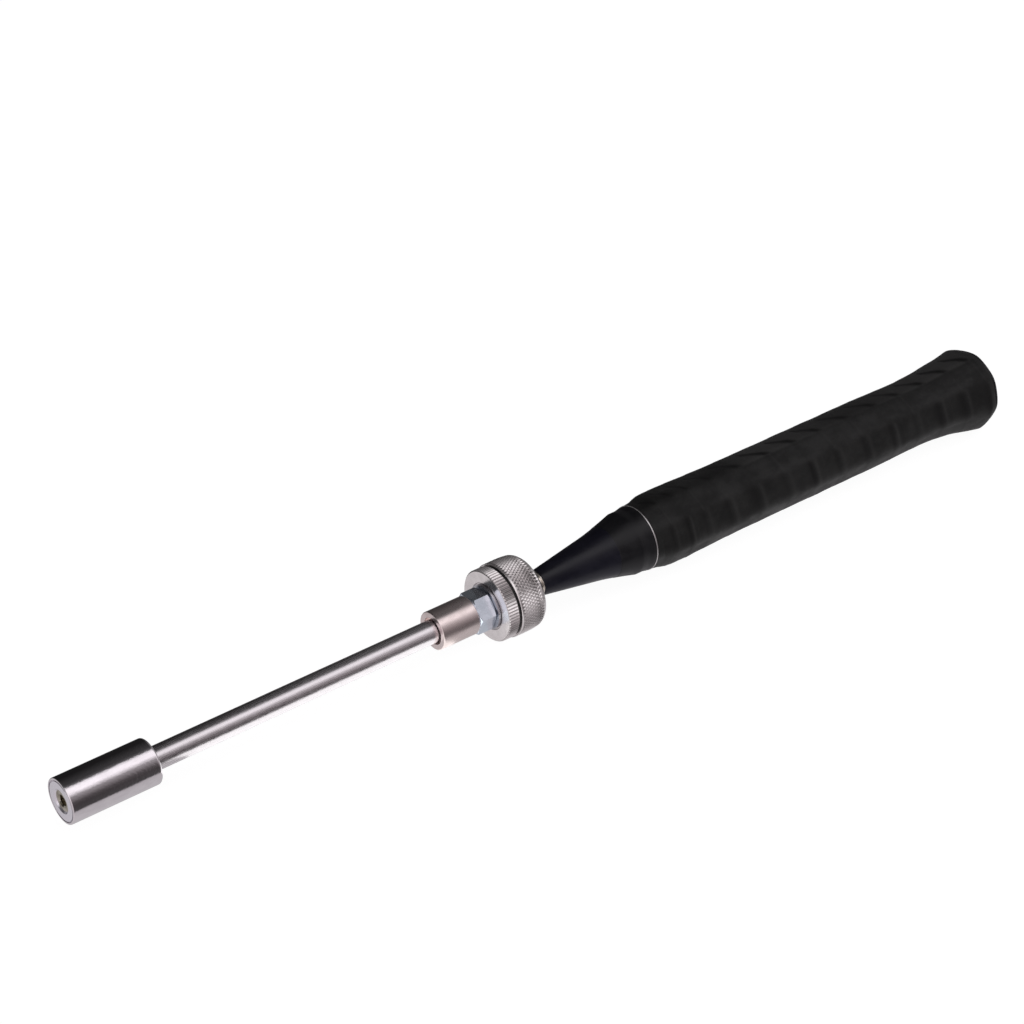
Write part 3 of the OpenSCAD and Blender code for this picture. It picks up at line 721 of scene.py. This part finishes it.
def make_collar():
    """The rubber collar stretched over the cone's flare, with a small bead along its front edge."""
    front_r = nose_radius(collar_x0)
    bead, proud = 0.14 * MM, 0.06 * MM
    outline = [(collar_x0, front_r + 0.02 * MM, 0), (collar_x0 + 0.25 * MM, front_r + bead, 0)]
    places = np.linspace(collar_x0 + 0.9 * MM, collar_x1, 24)
    for part, x in zip(np.linspace(0, 1, 24), places):
        outline.append((x, nose_radius(x) + proud * (1 - part), 0))
    outline.append((collar_x1 - 0.02 * MM, collar_r - COLLAR_WALL, 0))
    outline.append((collar_x0 + 0.6 * MM, front_r - COLLAR_WALL, 0))
    lathe("collar_skin", "cone_collar", outline, COLLAR)


def make_trim():
    """The thin trim ring between the collar and the grip."""
    edge = 0.15 * MM
    outline = [
        (trim_x0, TENON_R, 0),
        (trim_x0, trim_r, edge),
        (trim_x1, trim_r, edge),
        (trim_x1, TENON_R, 0),
    ]
    lathe("trim_skin", "trim_ring", outline, TRIM)


def make_stud():
    """The stud, threaded wherever the nuts leave it bare, now or at the end of their travel."""
    angle = full_turn(96)
    thread_x1 = cone_x0 + 2 * MM
    root_r = stud_r - THREAD_DEPTH
    flank, root_land = 1.65, 0.3
    rings = [ring_at(stud_x0, root_r, angle)]
    for x in np.arange(stud_x0 + 0.2 * MM, thread_x1, THREAD_PITCH / THREAD_RINGS):
        turn = (x / THREAD_PITCH - angle / (2 * math.pi)) % 1
        height = np.clip(flank * (1 - np.abs(2 * turn - 1)) - root_land, 0, 1)
        rings.append(ring_at(x, root_r + (stud_r - root_r) * height, angle))
    rings.append(ring_at(thread_x1 + 0.5 * MM, root_r, angle))
    rings.append(ring_at(stud_x1, root_r, angle))
    finish_mesh(rings_mesh("stud_thread", rings, closed=False), "stud", THREAD, crease=50)


# ---------------------------------------------------------------- the wrapped handle

# Turn of the octagon about the tool's axis
FLAT_TURN = math.radians(-16)

# How the grip rises from the trim ring: shares of the way along it, and of the height
FRONT_RISE = ((0, 0.2, 0.31, 0.42, 0.6, 1), (0, 0.22, 0.58, 0.86, 0.98, 1))

# Half widths across the wrapped flats, from the front edge to the butt's widest place, and how far the
# butt closes in behind that
GRIP_EDGE = 13.95 * MM
GRIP_FRONT = 15.69 * MM
GRIP_MIDDLE = 15.0 * MM
GRIP_WAIST = 14.6 * MM
BUTT_HALF = 18.75 * MM
BUTT_CLOSE = 2.2 * MM

# How sharp the octagon's corners are: along the grip, at the butt, and on the core
GRIP_SHARPNESS = 15
BUTT_SHARPNESS = 11
CORE_SHARPNESS = 60

# The wound butt leans to one side: how far, towards which side, and where along the tool it comes in
BUTT_LEAN = 0.67 * MM
LEAN_SIDE = math.radians(228.7)
LEAN_X0 = 450 * MM
LEAN_X1 = 468 * MM

# Places, in millimetres, where the tape's overlapping edge crosses the side at SEAM_SIDE degrees, and the
# tape's usual step from one turn to the next, in millimetres
SEAMS = (264, 280, 287.5, 296, 305, 318.5, 334.5, 351, 366, 380.5, 397, 413.3, 427.5, 442.3, 456, 469, 484)
SEAM_SIDE = 165
TAPE_PITCH = 15.8

# Sides of the wrapped handle, in degrees, where the tape lies, folds or shines in its own way, and where its
# painted shade and painted sheen go
LOW_FLAT = (146, 186)
FOLD_SIDE = (62, 97)
SHINY_SIDE = (58, 99)
AWAY_SIDE = (215, 415)

# Slow waves in the tape: length in millimetres, waves round the handle, height in millimetres
WRINKLES = ((31, 2, 0.022), (19, -1, 0.018), (13, 3, 0.014), (8.3, -4, 0.01))


def grip_half_width(x):
    """Half the width across the wrapped handle's flats."""
    swell_x = trim_x1 + 19 * MM
    middle_x = trim_x1 + 60 * MM
    waist_x = cap_x0 - 4 * MM
    taper_x = waist_x - 27 * MM
    widest_x = cap_x1 - 6.2 * MM
    flare_power, close_power = 1.75, 1.4
    front = GRIP_EDGE + (GRIP_FRONT - GRIP_EDGE) * np.interp(share(x, tape_x0, swell_x), *FRONT_RISE)
    settle = GRIP_MIDDLE + (GRIP_FRONT - GRIP_MIDDLE) * (1 - share(x, swell_x, middle_x)) ** 2
    narrow = GRIP_MIDDLE + (GRIP_WAIST - GRIP_MIDDLE) * smoothstep(share(x, taper_x, waist_x))
    flare = GRIP_WAIST + (BUTT_HALF - GRIP_WAIST) * share(x, waist_x, widest_x) ** flare_power
    close = BUTT_HALF - BUTT_CLOSE * share(x, widest_x, cap_x1) ** close_power
    stages = (x < swell_x, x < middle_x, x < waist_x, x < widest_x)
    return float(np.select(stages, (front, settle, narrow, flare), close))


def octagon_factor(angle, sharpness):
    """Radius of a rounded octagon at an angle, for a half width of 1."""
    total = sum(np.abs(np.cos(angle - FLAT_TURN - k * math.pi / 4)) ** sharpness for k in range(4))
    return total ** (-1 / sharpness)


def grip_ring(x, radius, angle):
    """A ring of points round the handle; the butt leans a little to one side."""
    lean = BUTT_LEAN * smoothstep(share(x, LEAN_X0, LEAN_X1))
    ring = ring_at(x, radius, angle)
    ring[:, 1] += lean * math.cos(LEAN_SIDE)
    ring[:, 2] += lean * math.sin(LEAN_SIDE)
    return ring


def wound_turn(x, angle):
    """How many turns of tape lie before a point of the handle; each whole number is an overlapping edge."""
    from_seam = (np.degrees(angle) - SEAM_SIDE + 180) % 360 - 180
    places = np.array(SEAMS) * MM
    return np.interp(x, places, np.arange(len(places))) - from_seam / 360


def edge_distance(x, angle):
    """Distance past the nearest overlapping edge of the tape, less than 0 before it, in millimetres."""
    turn = wound_turn(x, angle)
    return (turn - np.round(turn)) * TAPE_PITCH


def window(value, low, high, soft):
    """1 inside a span of values, easing to 0 over a soft border on both sides."""
    return smoothstep(share(value, low - soft, low)) * (1 - smoothstep(share(value, high, high + soft)))


def hill(value, middle, width):
    """A smooth hill of height 1."""
    return np.exp(-(((value - middle) / width) ** 2))


def tape_marks(x, angle):
    """(height, painted shade mask, painted sheen mask) of the wound tape at a place along the handle, for
    all angles.
    """
    side = np.degrees(angle) % 360
    past = edge_distance(x, angle)
    # Each lap of tape was pulled a little tighter or looser than the last
    lap = np.round(wound_turn(x, angle))
    strong = 0.72 + 0.28 * np.sin(2.4 * lap + 0.8)
    wave = np.sin(x / (23 * MM)) + 0.6 * np.sin(x / (9 * MM) + 1.3)
    low_flat = window(side, *LOW_FLAT, 9)
    fold = window(side, *FOLD_SIDE, 7)
    away = np.clip(window(side, *AWAY_SIDE, 12) + window(side + 360, *AWAY_SIDE, 12), 0, 1)
    plain_side = (1 - low_flat) * (1 - fold)
    # Painted shade where the tape sinks: bands on the low flat, slanted wedges on the folded side, fine
    # lines elsewhere
    band = low_flat * strong * hill(past, -0.4 - 0.5 * wave, 2.1 + 0.6 * wave)
    slant = past + 0.31 * (100 - side) - 1.0
    wedge = fold * hill(slant, 0.0, 1.8)
    line = plain_side * (0.25 + 0.25 * away) * hill(past, -0.2, 0.9)
    painted_shade = 0.95 * band + 0.95 * wedge + line
    # Painted sheen: painted highlights beside the bands and on the looser laps, and along the top of the
    # butt half
    beside_band = 0.4 * low_flat * strong * hill(past, 3.4, 1.1)
    loose_lap = 0.3 * plain_side * (1 - strong) * hill(past, 1.4, 0.7)
    top_shine = window(side, *SHINY_SIDE, 6) * smoothstep(share(x, 322 * MM, 345 * MM))
    painted_sheen = beside_band + loose_lap + top_shine * (1 - wedge) * (0.62 + 0.3 * np.sin(x / (17 * MM)))
    # Each overlap steps up and then runs out over the width of the tape
    step = np.where(past > -1.4, smoothstep(share(past, -1.4, 0.7)) * (1 - share(past, 0.7, 14)), 0)
    height = 0.09 * MM * step * (0.4 + 0.6 * strong) - 0.08 * MM * wedge - 0.06 * MM * band
    # Both ends of the handle are smooth
    front_end = smoothstep(share(x, tape_x0 + 1 * MM, tape_x0 + 5 * MM))
    butt_end = 1 - smoothstep(share(x, 468 * MM, 472 * MM))
    calm = front_end * butt_end
    return calm * height, np.clip(calm * painted_shade, 0, 1), np.clip(calm * painted_sheen, 0, 1)


def wrinkles(x, angle):
    """Slow dents and diagonal creases in the tape."""
    total = np.zeros(len(angle))
    for k, (length, waves, height) in enumerate(WRINKLES):
        phase = 2 * math.pi * x / (length * MM) + waves * angle + 1.7 * k
        total = total + height * MM * np.sin(phase)
    return total


def add_mask(obj, name, rows):
    """A value for each point of a piece, which its material reads by name."""
    layer = obj.data.attributes.new(name, "FLOAT", "POINT")
    layer.data.foreach_set("value", np.concatenate(rows).astype(np.float32))


def make_grip():
    """The tape: an octagonal, flared skin with the spiral's relief, closed by rings at both ends."""
    angle = full_turn(288)
    underlay = 0.8 * MM
    ring_step = 0.45 * MM
    rings, painted_shades, painted_sheens = [], [], []
    for x in np.arange(tape_x0, tape_x1, ring_step):
        height, painted_shade, painted_sheen = tape_marks(x, angle)
        calm = smoothstep(share(min(x - tape_x0, tape_x1 - x), 0, 3 * MM))
        sharpness = GRIP_SHARPNESS - (GRIP_SHARPNESS - BUTT_SHARPNESS) * share(x, 440 * MM, 468 * MM)
        radius = grip_half_width(x) * octagon_factor(angle, sharpness)
        rings.append(grip_ring(x, radius + height + calm * wrinkles(x, angle), angle))
        painted_shades.append(painted_shade)
        painted_sheens.append(painted_sheen)
    edge_r = grip_half_width(tape_x1) * octagon_factor(angle, BUTT_SHARPNESS)
    for drop in (0.12 * MM, 0.4 * MM, 1.0 * MM):
        rings.append(grip_ring(tape_x1 + min(0, 2 * drop - 0.8 * MM), edge_r - drop, angle))
    inner_r = (core_r + underlay) * octagon_factor(angle, CORE_SHARPNESS)
    rings += [ring_at(cap_x0, inner_r, angle), ring_at(tape_x0, inner_r, angle)]
    bare_rows = [np.zeros(len(angle))] * (len(rings) - len(painted_shades))
    obj = rings_mesh("grip_wrap", rings, closed=True)
    # Masks of painted shade and painted sheen that the tape's material reads
    add_mask(obj, "painted_shade", painted_shades + bare_rows)
    add_mask(obj, "painted_sheen", painted_sheens + bare_rows)
    finish_mesh(obj, "grip_tape", TAPE, crease=60)


def make_cap():
    """The butt cap: its rounded end shows behind the tape."""
    angle = full_turn(144)
    octagon = octagon_factor(angle, BUTT_SHARPNESS)
    shoulder = grip_half_width(tape_x1) - 0.5 * MM
    rim = 2.0 * MM
    profile = [(tape_x1 - 6 * MM, shoulder - 2 * MM), (tape_x1 - 0.6 * MM, shoulder - 0.3 * MM)]
    for turn in np.linspace(0, math.pi / 2, 8):
        profile.append((cap_x1 - rim * (1 - math.sin(turn)), shoulder - rim * (1 - math.cos(turn))))
    for part in (0.8, 0.5, 0.2, 0.0):
        profile.append((cap_x1, max(1e-6, (shoulder - rim) * part)))
    rings = [grip_ring(x, half * octagon, angle) for x, half in profile]
    finish_mesh(rings_mesh("cap_end", rings, closed=False), "butt_cap", COLLAR, crease=50)


def finish_cad_nodes():
    """Materials for the CAD nodes that are shown as they are."""
    for node, finish in FINISHES.items():
        mesh = nodes[node].data
        mesh.materials.clear()
        mesh.materials.append(finish)


# ---------------------------------------------------------------- stage, light and camera

# The room's light by direction round the tool's axis: (degrees up from the near side, level); 90 is
# overhead. NEAR_ROOM lies straight across the tool, FAR_ROOM on towards the butt and FRONT_ROOM back
# towards the magnet; BEHIND_LIGHT fills the space behind the butt.
NEAR_ROOM = (
    (-180, 0.01), (-157, 0.012), (-146, 0.34), (-110, 0.44), (-44, 0.42), (-34, 0.38), (-27, 0.055),
    (0, 0.045), (14, 0.07), (28, 0.17), (40, 0.27), (52, 0.70), (60, 0.96), (76, 0.93), (84, 0.72),
    (91, 0.10), (102, 0.04), (130, 0.02), (150, 0.01), (180, 0.01),
)
FAR_ROOM = (
    (-180, 0.05), (-157, 0.08), (-146, 0.34), (-110, 0.44), (-44, 0.44), (-33, 0.40), (-20, 0.17),
    (-5, 0.14), (10, 0.26), (25, 0.40), (40, 0.58), (52, 0.80), (60, 0.92), (76, 0.84), (84, 0.56),
    (92, 0.22), (105, 0.10), (130, 0.12), (150, 0.08), (180, 0.05),
)
FRONT_ROOM = (
    (-180, 0.20), (-160, 0.46), (-10, 0.46), (25, 0.62), (50, 0.86), (84, 0.86), (98, 0.07),
    (165, 0.04), (180, 0.20),
)
BEHIND_LIGHT = (0.24, 0.235, 0.24)
LIGHT_LEVEL = 1.25

# How far a direction leans along the tool, from -1 to 1, where one light gives way to the next
NEAR_TO_FAR = (0.37, 0.52)
NEAR_TO_FRONT = (-0.1, -0.32)
FAR_TO_BEHIND = (0.72, 0.92)

# The table's own glow and tone, and the card's glow, middle and size across the table
TABLE_GLOW = 0.95
TABLE_TONE = 0.16
CARD_GLOW = 1.3
CARD_MIDDLE = (0.123, -0.021)
CARD_SIZE = (0.126, 0.050)

CAMERA_PLACE = (-0.3900, -0.7825, 0.7310)
CAMERA_AZIMUTH = math.radians(-37.62)
CAMERA_ELEVATION = math.radians(34.92)
CAMERA_LENS = 105.47


def warmth(degrees):
    """The tint of the room's light: brownish near the horizon, faintly violet overhead and below."""
    amount = math.exp(-(((degrees - 8) / 34) ** 2))
    return 1.0, 0.975 - 0.085 * amount, 1.0 - 0.07 * amount


def room_ramp(tree, place, stops):
    """The colour socket of the room's light along one ramp."""
    ramp = add(tree, "ShaderNodeValToRGB", {0: place})
    elements = ramp.color_ramp.elements
    for k, (degrees, level) in enumerate(stops):
        stop = elements[k] if k < 2 else elements.new(1.0)
        stop.position = (degrees + 180) / 360
        stop.color = (*(level * tint for tint in warmth(degrees)), 1)
    return ramp.outputs[0]


def studio_world():
    """White to the camera. The tool sees a dark room with a long softbox overhead and a pale table."""
    world = bpy.data.worlds.new("studio")
    bpy.context.scene.world = world
    world.use_nodes = True
    tree = world.node_tree
    tree.nodes.clear()
    direction = add(tree, "ShaderNodeTexCoord").outputs["Generated"]
    xyz = add(tree, "ShaderNodeSeparateXYZ", {0: direction}).outputs
    toward = math_node(tree, "MULTIPLY", xyz[1], -1.0)
    turn = math_node(tree, "ARCTAN2", xyz[2], toward)
    place = math_node(tree, "ADD", math_node(tree, "DIVIDE", turn, 2 * math.pi), 0.5)
    near = room_ramp(tree, place, NEAR_ROOM)
    far = room_ramp(tree, place, FAR_ROOM)
    room = mixed(tree, mapped(tree, xyz[0], *NEAR_TO_FAR), near, far)
    front = room_ramp(tree, place, FRONT_ROOM)
    facing = mixed(tree, mapped(tree, xyz[0], *NEAR_TO_FRONT), room, front)
    light = mixed(tree, mapped(tree, xyz[0], *FAR_TO_BEHIND), facing, BEHIND_LIGHT)
    seen = add(tree, "ShaderNodeLightPath").outputs["Is Camera Ray"]
    lights = add(tree, "ShaderNodeBackground", {"Color": light, "Strength": LIGHT_LEVEL})
    white = add(tree, "ShaderNodeBackground", {"Color": (1, 1, 1, 1), "Strength": 1.0})
    both = add(tree, "ShaderNodeMixShader", {0: seen, 1: lights.outputs[0], 2: white.outputs[0]})
    add(tree, "ShaderNodeOutputWorld", {"Surface": both.outputs[0]})


def stage_plane(name, coat, size, place):
    """A level plane of the set with a new, empty material: (the plane, the material's tree)."""
    bpy.ops.mesh.primitive_plane_add(size=size, location=place)
    plane = bpy.context.object
    plane.name = name
    made = bpy.data.materials.new(coat)
    made.use_nodes = True
    made.node_tree.nodes.clear()
    plane.data.materials.append(made)
    return plane, made.node_tree


def make_floor():
    """A pale table that glows just enough to be white, so that only the tool's shadow shows on it."""
    low = Vector(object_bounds()[0])
    floor, tree = stage_plane("table", "table_white", 8, (0.25, 0, low.z))
    glow = add(tree, "ShaderNodeEmission", {"Color": (1, 1, 1, 1), "Strength": TABLE_GLOW})
    matte = add(tree, "ShaderNodeBsdfDiffuse", {"Color": (TABLE_TONE, TABLE_TONE, TABLE_TONE, 1)})
    both = add(tree, "ShaderNodeAddShader", {0: glow.outputs[0], 1: matte.outputs[0]})
    add(tree, "ShaderNodeOutputMaterial", {"Surface": both.outputs[0]})
    floor.visible_glossy = False
    floor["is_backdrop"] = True


def make_card():
    """A bright strip just above the table below the bare shaft, which only shows in reflections."""
    low = Vector(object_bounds()[0])
    card, tree = stage_plane("shaft_card", "card_white", 1, (*CARD_MIDDLE, low.z + 0.5 * MM))
    card.scale = (*CARD_SIZE, 1)
    glow = add(tree, "ShaderNodeEmission", {"Color": (1, 1, 1, 1), "Strength": CARD_GLOW})
    add(tree, "ShaderNodeOutputMaterial", {"Surface": glow.outputs[0]})
    card.visible_camera = False
    card.visible_diffuse = False
    card.visible_shadow = False
    card.visible_transmission = False
    card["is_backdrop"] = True


def make_camera():
    """A long lens that looks down along the tool from the magnet's side."""
    camera = bpy.data.cameras.new("camera")
    camera.sensor_width = 36
    camera.lens = CAMERA_LENS
    camera.clip_start = 0.05
    obj = bpy.data.objects.new("camera", camera)
    bpy.context.scene.collection.objects.link(obj)
    obj.location = CAMERA_PLACE
    obj.rotation_euler = (math.pi / 2 - CAMERA_ELEVATION, 0, CAMERA_AZIMUTH)
    bpy.context.scene.camera = obj


make_head()
make_pole()
make_screw()
make_nut()
make_thumb_nut()
make_tube()
make_socket()
make_cone()
make_collar()
make_trim()
make_stud()
make_grip()
make_cap()
finish_cad_nodes()
studio_world()
make_camera()
bpy.context.scene.view_settings.view_transform = "Standard"
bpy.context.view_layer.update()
make_floor()
make_card()
